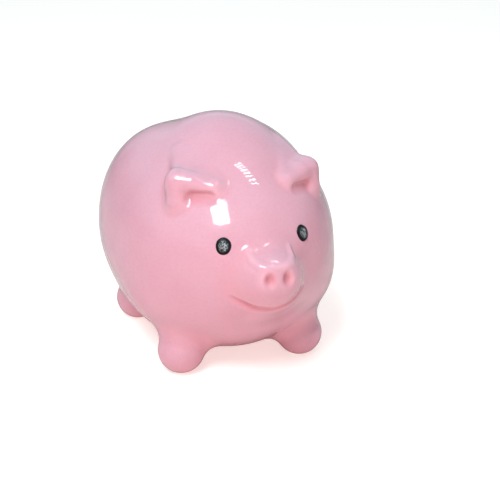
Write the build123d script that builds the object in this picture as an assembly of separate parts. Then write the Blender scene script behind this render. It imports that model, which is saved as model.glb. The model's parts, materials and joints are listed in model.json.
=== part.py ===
from build123d import *

import os
from math import cos, radians, sin, sqrt

# A glazed ceramic piggy bank in millimetres.
# The pig faces -Y and its left side is +X. The origin is on the floor, under the middle of its bounding box.
# The shell, ears, legs and tail are formed apart and luted together before firing, so they meet face to face.

# Driving dimensions
BARREL_RADIUS = 48.5  # half of the pig's width
BARREL_REACH = 64.0  # half of the barrel's length
BARREL_PITCH = 5.5  # degrees, head end up
SNOUT_REACH = 74.0  # from the barrel's middle to the snout's tip
BARREL_Z = 46.0  # the barrel's middle above the floor
BELLY_Z = 5.0  # the flat belly above the floor
WALL = 4.5  # fired wall thickness
SLOT_LENGTH, SLOT_WIDTH = 32.0, 4.8
HOLE_RADIUS = 14.0  # stopper hole in the belly
FOOT_RADIUS = 9.8
FOOT_FLAT = 0.9  # depth ground off under each foot
STOPPER_FIT = 0.05  # radial clearance of the stopper's ribs

# The barrel leans about its middle, so its ends reach this far along Y
pitch = radians(BARREL_PITCH)
rump_reach = sqrt((BARREL_REACH * cos(pitch)) ** 2 + (BARREL_RADIUS * sin(pitch)) ** 2)
BARREL_Y = (SNOUT_REACH - rump_reach) / 2

# Centres and radii of the swellings on the barrel, from the barrel's middle
CROWN_AT, CROWN_RADII = (0, -5.5, 7.0), (39.0, 44.0, 47.0)
HAUNCH_AT, HAUNCH_RADII = (16.6, 15.0, 7.0), (29.0, 36.0, 37.5)
MUZZLE_RADII = (12.6, 17.0, 10.6)
MUZZLE_AT = (0, MUZZLE_RADII[1] - SNOUT_REACH, 4.5)
CHIN_AT, CHIN_RADII = (0, -51.0, -6.0), (15.0, 15.5, 9.5)
JOWL_AT, JOWL_RADII = (19.0, -20.0, -11.0), (24.6, 27.5, 21.5)

# Feet on the floor, from the barrel's middle
FRONT_FOOT = (26.2, -34.0)
REAR_FOOT = (30.0, 22.5)
HIP_RADIUS = 13.2
HIP_RISE = 17.0  # from the middle of the foot's ball to the hip's
SPLAY = 6.7  # a foot stands this much further out than its hip, both ways

EYE_OUT, EYE_RADII = 16.6, (3.0, 3.5)
EYE_HEIGHTS = {"left": 17.6, "right": 16.4}  # dotted on by hand, so not quite level
EYE_RISE = 0.8
NOSTRIL_AT, NOSTRIL_RADII = (3.6, 6.8), (1.9, 1.5, 2.5)

# Each ear is a hood tipped forwards: where it grows, the run of its rim, and its hollow
EAR_AT = (24.3, -35.0, 31.5)
EAR_RIM = (0.88, 0.42, 0.12)
EAR_RADII = (12.5, 10.5, 8.2)
EAR_HOLLOW_RADII = (8.6, 8.4, 4.8)
EAR_HOLLOW_AT = (0.5, -6.0, 0.0)

SLOT_Y, SLOT_PITCH = 34.0, 36.0
TAIL_Z, TAIL_LOOP, TAIL_THICKNESS = 14.0, 6.0, 4.4
HOLE_Y = 4.0


def from_barrel(x, y, z):
    """A point given from the barrel's middle, in the part's frame."""
    return Vector(x, y + BARREL_Y, z + BARREL_Z)


def ellipsoid(radii, centre, turn=(0, 0, 0)):
    return Pos(centre) * Rot(*turn) * scale(Sphere(1), by=radii)


def shrunk(radii, by):
    return tuple(r - by for r in radii)


def pig_form(inset=0.0):
    """The barrel with its crown, haunches, jowls, muzzle and chin, every wall moved in by inset."""
    barrel = (BARREL_RADIUS, BARREL_REACH, BARREL_RADIUS)
    form = ellipsoid(shrunk(barrel, inset), from_barrel(0, 0, 0), (-BARREL_PITCH, 0, 0))
    form += ellipsoid(shrunk(CROWN_RADII, inset), from_barrel(*CROWN_AT))
    for (x, y, z), radii in ((HAUNCH_AT, HAUNCH_RADII), (JOWL_AT, JOWL_RADII)):
        for side in (1, -1):
            form += ellipsoid(shrunk(radii, inset), from_barrel(side * x, y, z))
    form += ellipsoid(shrunk(MUZZLE_RADII, inset), from_barrel(*MUZZLE_AT))
    form += ellipsoid(shrunk(CHIN_RADII, inset), from_barrel(*CHIN_AT))
    floor = Pos(0, 0, BELLY_Z + inset) * Box(300, 300, 300, align=(Align.CENTER, Align.CENTER, Align.MIN))
    return form & floor


def skin_point(form, start, towards):
    """Where a line from start first meets the form, and the outward normal there."""
    return form.find_intersection_points(Axis(start, towards))[0]


def ball_ended(hip, foot, hip_radius, foot_radius):
    """A tapered limb with a ball at each end."""
    length = (foot - hip).length
    outline = make_hull(
        Circle(hip_radius).edges() + (Pos(length, 0) * Circle(foot_radius)).edges()
    )
    half = outline & Pos(0, 500) * Rectangle(1000, 1000)
    limb = revolve(half, Axis.X)
    along = Plane(hip, x_dir=foot - hip, z_dir=Vector(0, 0, 1).cross(foot - hip).cross(foot - hip))
    return along * limb


def leg_pair_points(foot_xy, side, fore):
    """Hip and foot centres of one leg; fore is -1 at the front and 1 at the rear."""
    foot_z = FOOT_RADIUS - FOOT_FLAT
    x, y = foot_xy
    foot = Vector(side * x, y + BARREL_Y, foot_z)
    hip = foot + Vector(-side * SPLAY, -fore * SPLAY, HIP_RISE)
    return hip, foot


def leg(foot_xy, side, fore, form):
    hip, foot = leg_pair_points(foot_xy, side, fore)
    limb = ball_ended(hip, foot, HIP_RADIUS, FOOT_RADIUS)
    above_floor = Box(300, 300, 300, align=(Align.CENTER, Align.CENTER, Align.MIN))
    return (limb & above_floor) - form - leg_core(foot_xy, side, fore)


def leg_core(foot_xy, side, fore):
    """The hollow that slip casting leaves inside a leg."""
    hip, foot = leg_pair_points(foot_xy, side, fore)
    return ball_ended(hip, foot, HIP_RADIUS - WALL, FOOT_RADIUS - WALL)


def ear(form):
    """The left ear; its opening looks forwards and down."""
    inwards = -Vector(*EAR_AT)
    point, normal = skin_point(form, from_barrel(0, 0, 0) - inwards * 4, inwards)
    grown = Plane(point, x_dir=EAR_RIM, z_dir=normal)
    hood = ellipsoid(EAR_RADII, (0, 0, 0)) - ellipsoid(EAR_HOLLOW_RADII, EAR_HOLLOW_AT)
    return grown * hood - form


def eye(hand, form):
    """A low dome of enamel."""
    side = 1 if hand == "left" else -1
    start = from_barrel(side * EYE_OUT, -200, EYE_HEIGHTS[hand])
    point, normal = skin_point(form, start, (0, 1, 0))
    dome = scale(Sphere(1), by=(EYE_RADII[0], EYE_RADII[1], EYE_RISE))
    upright = Plane(point, x_dir=Vector(0, 0, 1).cross(normal), z_dir=normal)
    return upright * dome - form


def nostril(side, form):
    x, z = NOSTRIL_AT
    point, _ = skin_point(form, from_barrel(side * x, -200, z), (0, 1, 0))
    return ellipsoid(NOSTRIL_RADII, point)


def slot_cutter():
    middle = from_barrel(0, SLOT_Y, 40)
    blade = RectangleRounded(SLOT_WIDTH, SLOT_LENGTH, SLOT_WIDTH * 0.49)
    return Pos(middle) * Rot(-SLOT_PITCH, 0, 0) * extrude(blade, 30, both=True)


def tail(form):
    """A curl lying on the rump, its root rising to the left of the loop."""
    point, normal = skin_point(form, from_barrel(0, 200, TAIL_Z), (0, -1, 0))
    tube = TAIL_THICKNESS / 2
    ring = Torus(TAIL_LOOP, tube)
    root = Pos(-TAIL_LOOP, 0, 0) * Rot(90, 0, 0) * Cylinder(
        tube, TAIL_LOOP * 1.5, align=(Align.CENTER, Align.CENTER, Align.MIN)
    )
    tip = Pos(-TAIL_LOOP, -TAIL_LOOP * 1.5, 0) * Sphere(tube)
    lying = Plane(point, x_dir=(1, 0, 0), z_dir=normal)
    return lying * (ring + root + tip) - form


def stopper():
    """A soft bung: a flange under the belly, a ribbed cup in the hole and a bar to pinch."""
    flange_radius, flange = HOLE_RADIUS + 3.5, 1.8
    cup_radius, cup_height, skin = HOLE_RADIUS - 0.9, WALL + 4.0, 1.8
    rib_radius = HOLE_RADIUS - STOPPER_FIT
    recess_radius = cup_radius - skin
    at = Pos(0, HOLE_Y + BARREL_Y, BELLY_Z)
    up, down = (Align.CENTER, Align.CENTER, Align.MIN), (Align.CENTER, Align.CENTER, Align.MAX)
    bung = Cylinder(flange_radius, flange, align=down)
    bung = fillet(bung.edges().group_by(Axis.Z)[0], flange * 0.6)
    bung += Cylinder(cup_radius, cup_height, align=up)
    for share in (0.25, 0.75):
        bung += Pos(0, 0, WALL * share) * Cylinder(rib_radius, 0.8)
    recess = Pos(0, 0, -flange) * Cylinder(recess_radius, cup_height + flange - skin, align=up)
    bar = Pos(0, 0, -flange * 0.6) * Box(recess_radius * 2 + 0.4, 2.6, cup_height, align=up)
    return at * (bung - recess + bar)


def main():
    outer = pig_form()
    hole = Pos(0, HOLE_Y + BARREL_Y, BELLY_Z) * Cylinder(HOLE_RADIUS, 4 * WALL)
    shell = outer - pig_form(WALL) - slot_cutter() - hole
    left_ear = ear(outer)
    parts = {
        "ear_left": left_ear,
        "ear_right": mirror(left_ear, Plane.YZ),
        "eye_left": eye("left", outer),
        "eye_right": eye("right", outer),
        "tail": tail(outer),
        "stopper": stopper(),
    }
    for side, hand in ((1, "left"), (-1, "right")):
        shell -= nostril(side, outer)
        for foot_xy, fore, end in ((FRONT_FOOT, -1, "front"), (REAR_FOOT, 1, "rear")):
            shell -= leg_core(foot_xy, side, fore)
            parts[f"leg_{end}_{hand}"] = leg(foot_xy, side, fore, outer)
    parts["body_shell"] = shell
    os.makedirs("parts", exist_ok=True)
    for name, shape in parts.items():
        print(name, "solids", len(shape.solids()), "volume", round(shape.volume))
        export_step(shape, f"parts/{name}.step")


main()
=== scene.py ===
"""Looks of the glazed ceramic piggy bank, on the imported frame.

The glaze runs over every joint between the luted pieces, so the shell, legs, ears and tail are cut from one
continuous skin. The skin is a distance field in millimetres, meshed and then pulled exactly onto its surface.
"""

import json

import bpy
import numpy as np
import openvdb
from mathutils import Matrix, Vector


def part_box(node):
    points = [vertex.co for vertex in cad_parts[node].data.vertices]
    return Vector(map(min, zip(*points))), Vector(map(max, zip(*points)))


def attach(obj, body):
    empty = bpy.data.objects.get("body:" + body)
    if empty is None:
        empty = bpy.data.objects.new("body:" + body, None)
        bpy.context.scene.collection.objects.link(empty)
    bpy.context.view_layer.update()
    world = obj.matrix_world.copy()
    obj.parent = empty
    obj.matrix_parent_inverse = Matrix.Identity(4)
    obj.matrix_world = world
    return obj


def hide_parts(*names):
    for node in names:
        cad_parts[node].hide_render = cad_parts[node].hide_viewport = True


MM = 0.001
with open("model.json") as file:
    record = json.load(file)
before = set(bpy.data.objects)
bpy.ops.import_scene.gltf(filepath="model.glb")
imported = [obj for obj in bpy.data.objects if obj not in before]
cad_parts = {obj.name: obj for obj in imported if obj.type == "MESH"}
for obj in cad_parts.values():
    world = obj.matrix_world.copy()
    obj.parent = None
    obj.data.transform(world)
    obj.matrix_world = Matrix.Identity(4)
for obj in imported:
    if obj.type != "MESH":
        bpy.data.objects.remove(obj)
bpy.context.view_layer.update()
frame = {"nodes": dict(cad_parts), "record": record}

# Where the CAD puts things, in millimetres
shell_low, shell_high = (np.array(corner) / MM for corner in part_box("body_shell"))
stopper_low, stopper_high = (np.array(corner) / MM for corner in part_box("stopper"))
mounts = {mount["name"]: np.array(mount["pos_m"]) / MM for mount in frame["record"]["mounts"]}
FEET = [mounts["foot_front_left"], mounts["foot_rear_left"]]

BARREL = np.array([0.0, shell_low[1] + 74.0, 46.0])
BELLY_Z = shell_low[2]
WALL = 4.5
HIP_RADIUS, FOOT_RADIUS = 11.2, 9.8
FOOT_FLAT = 0.9
HOLE_RADIUS = 14.0
HOLE_AT = (stopper_low + stopper_high) / 2
SLOT_AT = BARREL + (0.0, 34.0, 40.0)
SLOT_PITCH = np.radians(36.0)
SLOT_SIZE = np.array([4.8, 32.0, 60.0])


# ---------------------------------------------------------------- distance field


def ellipsoid(p, centre, radii, pitch=0.0):
    """Distance to an ellipsoid, near enough at its surface; pitch in degrees lifts the head end."""
    q = p - np.asarray(centre, dtype=p.dtype)
    if pitch:
        c, s = np.cos(np.radians(pitch)), np.sin(np.radians(pitch))
        q = np.stack([q[..., 0], q[..., 1] * c - q[..., 2] * s, q[..., 1] * s + q[..., 2] * c], axis=-1)
    q = q / np.asarray(radii, dtype=p.dtype)
    reach = np.linalg.norm(q, axis=-1) + 1e-6
    slope = np.linalg.norm(q / np.asarray(radii, dtype=p.dtype), axis=-1) / reach
    return (reach - 1) / np.maximum(slope, 1e-5)


def capsule(p, a, b, radius_a, radius_b):
    """Distance to a rod with round ends that tapers from one radius to another."""
    a, b = np.asarray(a, dtype=float), np.asarray(b, dtype=float)
    along = np.clip((p - a) @ (b - a) / ((b - a) @ (b - a)), 0, 1)
    nearest = a + along[..., None] * (b - a)
    return np.linalg.norm(p - nearest, axis=-1) - (radius_a + (radius_b - radius_a) * along)


def drum(p, middle, radii, half_length, edge):
    """Distance to a short oval post lying along Y, with its ends rounded."""
    q = p - np.asarray(middle, dtype=float)
    beside = (np.hypot(q[..., 0] / radii[0], q[..., 2] / radii[1]) - 1) * min(radii) + edge
    beyond = np.abs(q[..., 1]) - half_length + edge
    outside = np.hypot(np.maximum(beside, 0), np.maximum(beyond, 0))
    return outside + np.minimum(np.maximum(beside, beyond), 0) - edge


def triangle(p, a, b, c):
    """Distance to a flat triangle."""
    a, b, c = (np.asarray(corner, dtype=float) for corner in (a, b, c))
    normal = np.cross(b - a, a - c)
    inside = np.zeros(p.shape[:-1])
    edge = None
    for start, end in ((a, b), (b, c), (c, a)):
        run = end - start
        inside += np.sign((p - start) @ np.cross(run, normal))
        along = np.clip((p - start) @ run / (run @ run), 0, 1)
        gap = np.linalg.norm(p - start - along[..., None] * run, axis=-1)
        edge = gap if edge is None else np.minimum(edge, gap)
    flat = np.abs((p - a) @ normal) / np.linalg.norm(normal)
    return np.where(np.abs(inside) >= 3, flat, edge)


def union(a, b, k):
    h = np.clip(0.5 + 0.5 * (b - a) / k, 0, 1)
    return b * (1 - h) + a * h - k * h * (1 - h)


def carve(a, b, k):
    return -union(-a, b, k)


def mirrored(p):
    """Both sides of the pig are alike, so one side is enough."""
    return np.concatenate([np.abs(p[..., :1]), p[..., 1:]], axis=-1)


def gradient(field, p, step=0.04):
    slope = np.empty_like(p)
    for axis in range(3):
        nudge = np.zeros(3)
        nudge[axis] = step
        slope[:, axis] = (field(p + nudge) - field(p - nudge)) / (2 * step)
    return slope


def pulled(field, p, rounds=3):
    """Points moved along the field's slope until they lie on its surface."""
    for _ in range(rounds):
        slope = gradient(field, p)
        p = p - (field(p) / np.maximum((slope ** 2).sum(axis=1), 0.05))[:, None] * slope
    return p


def barrel_form(p):
    """Body and snout, without legs, ears and small features."""
    form = ellipsoid(p, BARREL, (48.3, 64.0, 48.3), 5.5)
    form = union(form, ellipsoid(p, BARREL + (0, -7.8, 7.0), (36.6, 41.5, 47.2)), 7.0)
    for side in (1, -1):
        form = union(form, ellipsoid(p, BARREL + (side * 16.6, 14.9, 7.0), (28.2, 35.2, 36.3)), 9.0)
        form = union(form, ellipsoid(p, BARREL + (side * 19.0, -20.0, -11.0), (24.0, 27.0, 21.0)), 7.0)
    form = union(form, ellipsoid(p, BARREL + (0, -51.0, -6.0), (15.0, 15.5, 9.5)), 8.0)
    form = union(form, drum(p, BARREL + (0, -60.0, 4.6), (11.4, 10.0), 14.0, 8.5), 8.5)
    return -union(-form, p[..., 2] - BELLY_Z, 3.0)


def legs(p, inset=0.0):
    q = mirrored(p)
    gap = None
    for (x, y, _), fore in zip(FEET, (-1, 1)):
        foot = np.array([x, y, FOOT_RADIUS - FOOT_FLAT])
        hip = foot + (-8.4, -fore * 6.7, 17.0)
        one = capsule(q, hip, foot, HIP_RADIUS - inset, FOOT_RADIUS - inset)
        gap = one if gap is None else np.minimum(gap, one)
    return gap


EAR_INNER = BARREL + (14.8, -42.5, 34.1)
EAR_BEND = BARREL + (22.3, -37.8, 35.4)
EAR_PEAK = BARREL + (26.8, -34.4, 35.2)
EAR_TIP = BARREL + (27.9, -36.8, 28.5)
EAR_BACK = BARREL + (20.3, -18.0, 41.6)
EAR_THICKNESS = 6.0


def ears(p):
    """Hoods tipped forwards: a thick rolled rim from the brow round to the tip, open below."""
    q = mirrored(p)
    front = triangle(q, EAR_INNER, EAR_PEAK, EAR_BACK)
    flap = np.minimum(front, triangle(q, EAR_PEAK, EAR_TIP, EAR_BACK)) - EAR_THICKNESS / 2
    rim = union(capsule(q, EAR_INNER, EAR_BEND, 1.8, 3.6), capsule(q, EAR_BEND, EAR_PEAK, 3.6, 4.3), 2.0)
    rim = union(rim, capsule(q, EAR_PEAK, EAR_TIP, 4.3, 3.0), 3.0)
    return union(flap, rim, 4.0)


def on_barrel(points, sink):
    """Points given from the barrel's middle, moved onto its skin and then in by sink."""
    points = pulled(barrel_form, BARREL + np.array(points))
    return points - sink * gradient(barrel_form, points)


# Both run from the middle out to the pig's left
MOUTH = on_barrel([(0, -68, -6.8), (4, -68, -6.6), (7.5, -66, -5.8), (10.5, -64, -4.6), (13, -60, -3)], 0.0)
SNOUT_EDGE = [(0, -72.8, 10.8), (3.2, -72, 10.9), (6.3, -69.9, 11.4), (8, -66, 12.7), (8.3, -62.5, 15)]
CREST = on_barrel(SNOUT_EDGE, 0.9)


def cord(p, points, radii):
    """Distance to a round cord through points, with its own radius at each one."""
    gap = None
    for start, end, thick, thin in zip(points[:-1], points[1:], radii[:-1], radii[1:]):
        one = capsule(p, start, end, thick, thin)
        gap = one if gap is None else np.minimum(gap, one)
    return gap


def smile(p):
    """A soft groove under the snout that fades out at both ends."""
    return cord(mirrored(p), MOUTH, (0.4, 0.5, 0.6, 0.4, -0.4))


def snout_crest(p):
    """The edge where the top of the snout turns down to its front."""
    return cord(mirrored(p), CREST, (1.0, 1.2, 1.3, 1.3, 0.7))


def ear_creases(p):
    """The small shaded hollow under each rim."""
    crease = capsule(mirrored(p), BARREL + (17.5, -44.8, 31.0), BARREL + (23.4, -42.2, 30.7), 1.5, 1.5)
    return carve(crease, barrel_form(p) - 0.8, 1.5)


def nostrils(p):
    return ellipsoid(mirrored(p), BARREL + (3.6, -74.6, 6.8), (2.0, 2.8, 2.7))


def tail_line():
    """A root coming down the rump into one turn that winds in on itself, and its thickness."""
    root = [(-6.0, 9.0), (-6.1, 6.5), (-6.3, 3.5), (-6.2, 1.0)]
    turns = np.linspace(0.05, 1, 22)
    angle = np.radians(180 + 360 * turns)
    radius = 6.2 - 3.5 * turns
    across = np.concatenate([[x for x, _ in root], radius * np.cos(angle)])
    up = np.concatenate([[z for _, z in root], radius * np.sin(angle)])
    line = on_barrel(np.stack([across, 58.0 + 0 * across, 14.0 + up], axis=-1), -0.7)
    return line, np.concatenate([[1.3, 2.0, 2.3, 2.4], 2.4 - 0.9 * turns])


TAIL_LINE, TAIL_THICKNESS = tail_line()


def tail(p):
    """A curl in low relief on the rump."""
    return cord(p, TAIL_LINE, TAIL_THICKNESS)


def coin_slot(p):
    q = p - SLOT_AT
    c, s = np.cos(SLOT_PITCH), np.sin(SLOT_PITCH)
    along = q[..., 1] * c - q[..., 2] * s
    round_end = SLOT_SIZE[0] / 2
    beyond = np.maximum(np.abs(along) - SLOT_SIZE[1] / 2 + round_end, 0)
    return np.hypot(beyond, q[..., 0]) - round_end


def slot_depth(p):
    q = p - SLOT_AT
    return np.abs(q[..., 1] * np.sin(SLOT_PITCH) + q[..., 2] * np.cos(SLOT_PITCH)) - SLOT_SIZE[2] / 2


def stopper_hole(p):
    beside = np.hypot(p[..., 0] - HOLE_AT[0], p[..., 1] - HOLE_AT[1]) - HOLE_RADIUS
    return np.maximum(beside, p[..., 2] - 25.0)


def ripple(p):
    """The slow unevenness of a slip-cast wall under glaze."""
    x, y, z = p[..., 0], p[..., 1], p[..., 2]
    across = np.sin(x / 9.1 + 1.3) * np.sin(y / 11.7 + 0.4)
    aslant = np.sin(y / 8.3 + z / 13.0) * np.sin(z / 10.1 - x / 15.0)
    return 0.10 * (across + aslant)


def skin(p):
    form = union(barrel_form(p), snout_crest(p), 1.5)
    form = union(form, legs(p), 7.0)
    form = carve(union(form, ears(p), 3.5), ear_creases(p), 2.5)
    form = union(form, tail(p), 1.6)
    form = carve(form, nostrils(p), 1.6)
    form = carve(form, smile(p), 2.2)
    form = np.maximum(form + ripple(p), -p[..., 2])
    form = carve(form, np.maximum(coin_slot(p), slot_depth(p)), 1.0)
    return carve(form, stopper_hole(p), 0.8)


def hollow(p):
    return union(barrel_form(p) + WALL, legs(p, WALL), 3.0)


# ---------------------------------------------------------------- meshing


def surface(field, cell):
    """Quads of the field's surface, wound so that they face out."""
    low, high = shell_low - 6.0, shell_high + 6.0
    low[2] = -3.0 - cell * 0.37
    counts = np.ceil((high - low) / cell).astype(int)
    values = np.empty(counts, dtype=np.float32)
    axes = [low[i] + cell * np.arange(counts[i]) for i in range(3)]
    for i, x in enumerate(axes[0]):
        plane = np.stack(np.meshgrid([x], axes[1], axes[2], indexing="ij"), axis=-1)[0]
        values[i] = field(plane)
    grid = openvdb.FloatGrid(3.0 * cell)
    grid.copyFromArray(np.clip(values, -3.0 * cell, 3.0 * cell))
    points, quads = grid.convertToQuads(0.0)
    points = pulled(field, points.astype(float) * cell + low)
    quads = quads.astype(int)
    a, b, c = (points[quads[:, i]] for i in range(3))
    outward = gradient(field, a)
    if (np.cross(b - a, c - b) * outward).sum() < 0:
        quads = quads[:, ::-1]
    return points, quads


def build(name, points, quads, normals, material_index, attributes, body="pig"):
    """A mesh object from points in millimetres, shaded with the field's own normals."""
    used, local = np.unique(quads, return_inverse=True)
    local = local.reshape(quads.shape)
    mesh = bpy.data.meshes.new(name)
    mesh.from_pydata((points[used] * MM).tolist(), [], local.tolist())
    mesh.polygons.foreach_set("use_smooth", np.ones(len(quads), dtype=bool))
    mesh.polygons.foreach_set("material_index", material_index.astype(np.int32))
    for key, values in attributes.items():
        layer = mesh.attributes.new(key, "FLOAT", "POINT")
        layer.data.foreach_set("value", values[used].astype(np.float32))
    mesh.update()
    mesh.normals_split_custom_set_from_vertices(normals[used].tolist())
    piece = bpy.data.objects.new(name, mesh)
    bpy.context.scene.collection.objects.link(piece)
    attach(piece, body)
    return piece


CELL = 0.88
print("meshing the skin")
outer, outer_quads = surface(skin, CELL)
inner, inner_quads = surface(hollow, 1.5 * CELL)
outer_middle = outer[outer_quads].mean(axis=1)
outer_quads = outer_quads[hollow(outer_middle) > -0.2]
inner_middle = inner[inner_quads].mean(axis=1)
slot_there = np.maximum(coin_slot(inner_middle), slot_depth(inner_middle))
open_there = np.minimum(slot_there, stopper_hole(inner_middle))
inner_quads = inner_quads[open_there > 0][:, ::-1]

points = np.concatenate([outer, inner])
quads = np.concatenate([outer_quads, inner_quads + len(outer)])
outer_normals = gradient(skin, outer)
inner_normals = -gradient(hollow, inner)
normals = np.concatenate([outer_normals, inner_normals])
normals /= np.linalg.norm(normals, axis=1, keepdims=True) + 1e-9

# How hollow or how proud each spot is, which is where glaze gathers and shade is painted, and where glaze
# thins
REACH = 3.0
hollowness = np.clip((REACH - skin(points + normals * REACH)) / REACH, 0, 1)
proudness = np.clip((REACH + skin(points - normals * REACH)) / REACH, 0, 1)
bare = ((points[:, 2] < 0.25) | (np.arange(len(points)) >= len(outer))).astype(float)
attributes = {"hollowness": hollowness, "proudness": proudness, "bare": bare}

middle = points[quads].mean(axis=1)
form_gap = barrel_form(middle)
gaps = {"leg": legs(middle), "ear": ears(middle), "tail": tail(middle)}
owner = np.full(len(quads), "body_shell", dtype=object)
is_outer = quads[:, 0] < len(outer)
left = np.where(middle[:, 0] > 0, "left", "right")
near_leg = (gaps["leg"] < form_gap) & (form_gap > -WALL)
fore_end = np.where(middle[:, 1] < BARREL[1], "front", "rear")
owner[near_leg] = ["leg_%s_%s" % (e, h) for e, h in zip(fore_end[near_leg], left[near_leg])]
near_ear = is_outer & (gaps["ear"] < form_gap) & (middle[:, 2] > 60) & (form_gap > 0.2)
owner[near_ear] = ["ear_%s" % h for h in left[near_ear]]
near_tail = is_outer & (gaps["tail"] < form_gap) & (middle[:, 1] > BARREL[1] + 40) & (form_gap > 0.1)
owner[near_tail] = "tail"

glazed_pieces = []
for node in sorted(set(owner)):
    mine = owner == node
    piece = build(node + "_glazed", points, quads[mine], normals, (~is_outer[mine]).astype(int), attributes)
    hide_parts(node)
    glazed_pieces.append(piece)
    print(node, int(mine.sum()) * 2, "triangles")


# ---------------------------------------------------------------- eyes


EYE_RADII = (3.0, 3.35)
EYE_RISE = 0.75


def eye(name, node):
    """A low dome of enamel, not quite round, with its edge sunk into the glaze."""
    low, high = (np.array(corner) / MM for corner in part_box(node))
    centre = (low + high) / 2 - (np.sign(low[0]) * 0.6, 0, 0.5)
    centre = pulled(barrel_form, centre[None])[0]
    normal = gradient(barrel_form, centre[None])[0]
    normal /= np.linalg.norm(normal)
    across = np.cross([0, 0, 1], normal)
    across /= np.linalg.norm(across)
    up = np.cross(normal, across)
    rings, spokes = 14, 48
    turn = np.arange(spokes)[:, None] / spokes * 2 * np.pi
    wobble = 1 + 0.012 * np.sin(3 * turn + 1) + 0.008 * np.sin(5 * turn)
    outline = wobble * (EYE_RADII[0] * np.cos(turn) * across + EYE_RADII[1] * np.sin(turn) * up)
    dots = np.concatenate([[centre]] + [centre + outline * ring / rings for ring in range(1, rings + 1)])
    share = np.concatenate([[0], np.repeat(np.arange(1, rings + 1) / rings, spokes)])
    rise = EYE_RISE * np.sqrt(np.maximum(0, 1 - share ** 4)) - 0.05
    dots = pulled(lambda q: barrel_form(q) + ripple(q), dots)
    dots = dots + normal * rise[:, None]
    faces = []
    for spoke in range(spokes):
        following = (spoke + 1) % spokes
        faces.append((0, 1 + spoke, 1 + following))
        for ring in range(rings - 1):
            a, b = 1 + ring * spokes, 1 + (ring + 1) * spokes
            faces.append((a + spoke, b + spoke, b + following, a + following))
    mesh = bpy.data.meshes.new(name)
    mesh.from_pydata((dots * MM).tolist(), [], faces)
    mesh.polygons.foreach_set("use_smooth", np.ones(len(faces), dtype=bool))
    mesh.attributes.new("rim", "FLOAT", "POINT").data.foreach_set("value", share.astype(np.float32))
    mesh.update()
    piece = bpy.data.objects.new(name, mesh)
    bpy.context.scene.collection.objects.link(piece)
    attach(piece, "pig")
    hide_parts(node)
    return piece


eyes = [eye("eye_%s_enamel" % hand, "eye_%s" % hand) for hand in ("left", "right")]


# ---------------------------------------------------------------- materials


def material(name):
    made = bpy.data.materials.new(name)
    made.use_nodes = True
    nodes, links = made.node_tree.nodes, made.node_tree.links
    return made, nodes, links, nodes["Principled BSDF"]


def node_of(nodes, kind, **inputs):
    made = nodes.new(kind)
    for key, value in inputs.items():
        made.inputs[key.replace("_", " ")].default_value = value
    return made


def blotches(nodes, links, source, first, last, spread=(0.3, 0.7)):
    """A drift between two colours as source climbs through spread."""
    made = nodes.new("ShaderNodeValToRGB")
    for stop, position, colour in zip(made.color_ramp.elements, spread, (first, last)):
        stop.position, stop.color = position, (*colour, 1)
    links.new(source, made.inputs["Fac"])
    return made.outputs["Color"]


def mixed(nodes, links, factor, a, b, blend="MIX"):
    made = nodes.new("ShaderNodeMix")
    made.data_type, made.blend_type = "RGBA", blend
    for socket, value in ((made.inputs["Factor"], factor), (made.inputs["A"], a), (made.inputs["B"], b)):
        if isinstance(value, bpy.types.NodeSocket):
            links.new(value, socket)
        else:
            socket.default_value = value
    return made.outputs["Result"]


def scaled(nodes, links, source, by):
    made = nodes.new("ShaderNodeMath")
    made.operation = "MULTIPLY"
    links.new(source, made.inputs[0])
    made.inputs[1].default_value = by
    return made.outputs[0]


def attribute(nodes, name):
    made = nodes.new("ShaderNodeAttribute")
    made.attribute_name = name
    return made.outputs["Fac"]


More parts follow.
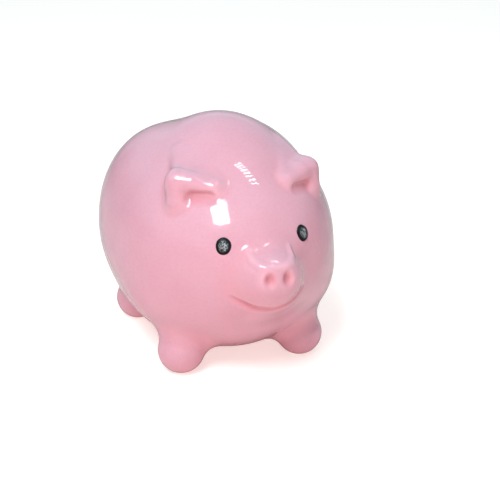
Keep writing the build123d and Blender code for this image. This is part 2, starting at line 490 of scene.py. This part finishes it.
def glaze_material():
    """Pink glaze over a white body: deeper where it pools and where shade is painted into hollows, paler on
    ridges, faintly speckled.
    """
    made, nodes, links, shader = material("pink_glaze")
    place = nodes.new("ShaderNodeTexCoord").outputs["Object"]
    cloud = node_of(nodes, "ShaderNodeTexNoise", Scale=28.0, Detail=3.0)
    speck = node_of(nodes, "ShaderNodeTexNoise", Scale=900.0, Detail=2.0)
    for texture in (cloud, speck):
        links.new(place, texture.inputs["Vector"])
    base = blotches(nodes, links, cloud.outputs["Fac"], (0.505, 0.240, 0.298), (0.535, 0.274, 0.336))
    fine = blotches(nodes, links, speck.outputs["Fac"], (0.97, 0.96, 0.965), (1, 1, 1), (0.35, 0.6))
    base = mixed(nodes, links, 1.0, base, fine, "MULTIPLY")
    # Hollows get a deeper pink: partly pooled glaze, partly painted shade.
    pooled_glaze_and_shade = blotches(nodes, links, attribute(nodes, "hollowness"), (0, 0, 0), (1, 1, 1), (0.05, 0.6))
    pooled_glaze_and_shade_amount = scaled(nodes, links, pooled_glaze_and_shade, 0.75)
    base = mixed(nodes, links, pooled_glaze_and_shade_amount, base, (0.50, 0.135, 0.165, 1))
    thin = blotches(nodes, links, attribute(nodes, "proudness"), (0, 0, 0), (1, 1, 1), (0.08, 0.6))
    base = mixed(nodes, links, scaled(nodes, links, thin, 0.35), base, (0.74, 0.42, 0.47, 1))
    base = mixed(nodes, links, attribute(nodes, "bare"), base, (0.80, 0.72, 0.66, 1))
    links.new(base, shader.inputs["Base Color"])
    rough = node_of(nodes, "ShaderNodeMapRange")
    links.new(attribute(nodes, "bare"), rough.inputs["Value"])
    rough.inputs["To Min"].default_value = 0.16
    rough.inputs["To Max"].default_value = 0.85
    links.new(rough.outputs["Result"], shader.inputs["Roughness"])
    coat = node_of(nodes, "ShaderNodeMapRange")
    links.new(attribute(nodes, "bare"), coat.inputs["Value"])
    coat.inputs["To Min"].default_value = 1.0
    coat.inputs["To Max"].default_value = 0.0
    links.new(coat.outputs["Result"], shader.inputs["Coat Weight"])
    shader.inputs["Coat Roughness"].default_value = 0.012
    shader.inputs["Coat IOR"].default_value = 1.38
    shader.inputs["Specular IOR Level"].default_value = 0.05
    shader.inputs["Subsurface Weight"].default_value = 0.12
    shader.inputs["Subsurface Radius"].default_value = (1.0, 0.45, 0.4)
    shader.inputs["Subsurface Scale"].default_value = 0.003
    orange_peel = node_of(nodes, "ShaderNodeTexNoise", Scale=220.0, Detail=2.0)
    links.new(place, orange_peel.inputs["Vector"])
    bump = node_of(nodes, "ShaderNodeBump", Strength=0.03, Distance=0.0004)
    links.new(orange_peel.outputs["Fac"], bump.inputs["Height"])
    links.new(bump.outputs["Normal"], shader.inputs["Coat Normal"])
    return made


def bisque_material():
    """The unglazed, slightly powdery inside of the casting."""
    made, nodes, links, shader = material("bare_bisque")
    place = nodes.new("ShaderNodeTexCoord").outputs["Object"]
    grain = node_of(nodes, "ShaderNodeTexNoise", Scale=500.0, Detail=5.0)
    drift = node_of(nodes, "ShaderNodeTexNoise", Scale=30.0, Detail=3.0)
    for texture in (grain, drift):
        links.new(place, texture.inputs["Vector"])
    base = blotches(nodes, links, drift.outputs["Fac"], (0.70, 0.62, 0.55), (0.80, 0.73, 0.67))
    links.new(base, shader.inputs["Base Color"])
    shader.inputs["Roughness"].default_value = 0.9
    bump = node_of(nodes, "ShaderNodeBump", Strength=0.4, Distance=0.0003)
    links.new(grain.outputs["Fac"], bump.inputs["Height"])
    links.new(bump.outputs["Normal"], shader.inputs["Normal"])
    return made


def enamel_material():
    """Black enamel dot: glossy in the middle with grey specks there that are a painted reflection, dull at
    its edge.
    """
    made, nodes, links, shader = material("black_enamel")
    place = nodes.new("ShaderNodeTexCoord").outputs["Object"]
    brushed = node_of(nodes, "ShaderNodeTexNoise", Scale=700.0, Detail=3.0)
    links.new(place, brushed.inputs["Vector"])
    black, worn = (0.004, 0.004, 0.005), (0.012, 0.012, 0.014)
    base = blotches(nodes, links, brushed.outputs["Fac"], black, worn, (0.35, 0.7))
    reflection_specks = node_of(nodes, "ShaderNodeTexNoise", Scale=1600.0, Detail=2.0)
    links.new(place, reflection_specks.inputs["Vector"])
    # Grey specks painted into the middle of the dot stand for a reflection.
    painted_reflection = blotches(nodes, links, reflection_specks.outputs["Fac"], (0.01, 0.01, 0.012), (0.26, 0.27, 0.29), (0.40, 0.62))
    gloss = blotches(nodes, links, attribute(nodes, "rim"), (1, 1, 1), (0, 0, 0), (0.40, 0.72))
    base = mixed(nodes, links, gloss, base, painted_reflection)
    links.new(base, shader.inputs["Base Color"])
    links.new(gloss, shader.inputs["Coat Weight"])
    shader.inputs["Roughness"].default_value = 0.35
    shader.inputs["Specular IOR Level"].default_value = 0.08
    shader.inputs["Coat Roughness"].default_value = 0.06
    bump = node_of(nodes, "ShaderNodeBump", Strength=0.25, Distance=0.0002)
    links.new(brushed.outputs["Fac"], bump.inputs["Height"])
    links.new(bump.outputs["Normal"], shader.inputs["Normal"])
    return made


def stopper_material():
    """Soft milky vinyl."""
    made, nodes, links, shader = material("soft_stopper")
    place = nodes.new("ShaderNodeTexCoord").outputs["Object"]
    mould = node_of(nodes, "ShaderNodeTexNoise", Scale=350.0, Detail=4.0)
    smear = node_of(nodes, "ShaderNodeTexNoise", Scale=60.0, Detail=3.0)
    for texture in (mould, smear):
        links.new(place, texture.inputs["Vector"])
    base = blotches(nodes, links, smear.outputs["Fac"], (0.66, 0.64, 0.59), (0.74, 0.72, 0.68))
    links.new(base, shader.inputs["Base Color"])
    shader.inputs["Roughness"].default_value = 0.42
    shader.inputs["Subsurface Weight"].default_value = 0.3
    shader.inputs["Subsurface Scale"].default_value = 0.002
    bump = node_of(nodes, "ShaderNodeBump", Strength=0.15, Distance=0.0003)
    links.new(mould.outputs["Fac"], bump.inputs["Height"])
    links.new(bump.outputs["Normal"], shader.inputs["Normal"])
    return made


glaze, bisque, enamel, vinyl = glaze_material(), bisque_material(), enamel_material(), stopper_material()
for piece in glazed_pieces:
    piece.data.materials.append(glaze)
    piece.data.materials.append(bisque)
for piece in eyes:
    piece.data.materials.append(enamel)
stopper = frame["nodes"]["stopper"]
stopper.data.materials.clear()
stopper.data.materials.append(vinyl)


# ---------------------------------------------------------------- camera and studio

def bearing(azimuth, elevation):
    """A direction from the object; azimuth 0 is straight ahead of the snout, positive towards its left."""
    azimuth, elevation = np.radians(azimuth), np.radians(elevation)
    return (np.sin(azimuth) * np.cos(elevation), -np.cos(azimuth) * np.cos(elevation), np.sin(elevation))


VIEW_AZIMUTH, VIEW_ELEVATION, VIEW_DISTANCE = -18.73, 20.48, 0.42
TARGET = Vector((0, BARREL[1] * MM, 0.048))
towards_camera = Vector(bearing(VIEW_AZIMUTH, VIEW_ELEVATION))
camera = bpy.data.objects.new("camera", bpy.data.cameras.new("camera"))
camera.data.lens, camera.data.sensor_width = 69.25, 36.0
camera.data.shift_x, camera.data.shift_y = 0.0698, -0.0488
camera.data.clip_start = 0.01
camera.location = TARGET + towards_camera * VIEW_DISTANCE
camera.rotation_euler = towards_camera.to_track_quat("Z", "Y").to_euler()
bpy.context.scene.collection.objects.link(camera)
bpy.context.scene.camera = camera


def light(name, direction, distance, size, power, colour=(1, 1, 1), roll=0):
    data = bpy.data.lights.new(name, "AREA")
    data.shape, data.size, data.size_y = "RECTANGLE", size[0], size[1]
    data.energy, data.color = power, colour
    lamp = bpy.data.objects.new(name, data)
    direction = Vector(direction).normalized()
    lamp.location = TARGET + direction * distance
    facing = direction.to_track_quat("Z", "Y").to_matrix() @ Matrix.Rotation(np.radians(roll), 3, "Z")
    lamp.rotation_euler = facing.to_euler()
    lamp.visible_camera = False
    bpy.context.scene.collection.objects.link(lamp)
    return lamp


# The room that the glaze mirrors: a big pale ceiling, a ragged window, a blind and a tube lamp
light("ceiling", bearing(-60, 86), 1.4, (9.0, 9.0), 100.0, (0.52, 0.92, 1.0))
light("left_sky", bearing(-80, 30), 2.0, (2.4, 1.6), 1.6, (0.84, 0.96, 1.0))
light("rear_sky", bearing(164, 14), 2.4, (3.0, 1.1), 3.0, (1.0, 0.86, 0.90))
light("window", bearing(-42, 53.5), 0.8, (0.24, 0.31), 4.1, (0.92, 1.0, 1.0), roll=20)
light("window_edge", bearing(-40, 51.5), 0.82, (0.22, 0.30), 2.1, (0.92, 1.0, 1.0), roll=38)
light("warm_fill", bearing(-10, 6), 1.2, (1.6, 0.5), 5.2, (1.0, 0.43, 0.28))
for slat in range(8):
    way = bearing(50.0 + 0.9 * slat, 78.6 - 1.85 * slat)
    light("blind_%d" % slat, way, 0.9, (0.12, 0.007), 0.085, roll=-43)
light("tube", bearing(-52, 74), 0.9, (0.016, 0.16), 1.0, roll=-20)



def sheet(name, height, covering):
    """A square of the studio's floor."""
    reach = 6.0
    mesh = bpy.data.meshes.new(name)
    corners = [(x * reach, y * reach, height) for x, y in ((-1, -1), (1, -1), (1, 1), (-1, 1))]
    mesh.from_pydata(corners, [], [(0, 1, 2, 3)])
    mesh.materials.append(covering)
    laid = bpy.data.objects.new(name, mesh)
    bpy.context.scene.collection.objects.link(laid)
    return laid


paper, nodes, links, shader = material("paper")
grain = node_of(nodes, "ShaderNodeTexNoise", Scale=40.0, Detail=2.0)
tint = blotches(nodes, links, grain.outputs["Fac"], (0.68, 0.575, 0.55), (0.70, 0.595, 0.57))
links.new(tint, shader.inputs["Base Color"])
shader.inputs["Roughness"].default_value = 0.9
shader.inputs["Specular IOR Level"].default_value = 0.0
shader.inputs["Emission Color"].default_value = (1.0, 0.90, 0.86, 1)
shader.inputs["Emission Strength"].default_value = 0.60
floor = sheet("floor", 0.0, paper)

# The glaze mirrors a duller table than the camera sees, so the rim of the pig stays soft
felt, nodes, links, shader = material("felt")
shader.inputs["Base Color"].default_value = (0.58, 0.45, 0.43, 1)
shader.inputs["Roughness"].default_value = 1.0
mirrored_table = sheet("mirrored_table", 0.0003, felt)
mirrored_table.visible_camera = False
mirrored_table.visible_diffuse = False
mirrored_table.visible_shadow = False

# The walls are dull at floor level and grow as pale as the ceiling
world = bpy.data.worlds.new("room")
world.use_nodes = True
nodes, links = world.node_tree.nodes, world.node_tree.links
height = nodes.new("ShaderNodeSeparateXYZ")
links.new(nodes.new("ShaderNodeTexCoord").outputs["Generated"], height.inputs["Vector"])
walls = blotches(nodes, links, height.outputs["Z"], (0.14, 0.145, 0.15), (0.20, 0.31, 0.34), (0.02, 0.28))
links.new(walls, nodes["Background"].inputs["Color"])
bpy.context.scene.world = world
bpy.context.scene.view_settings.view_transform = "Standard"
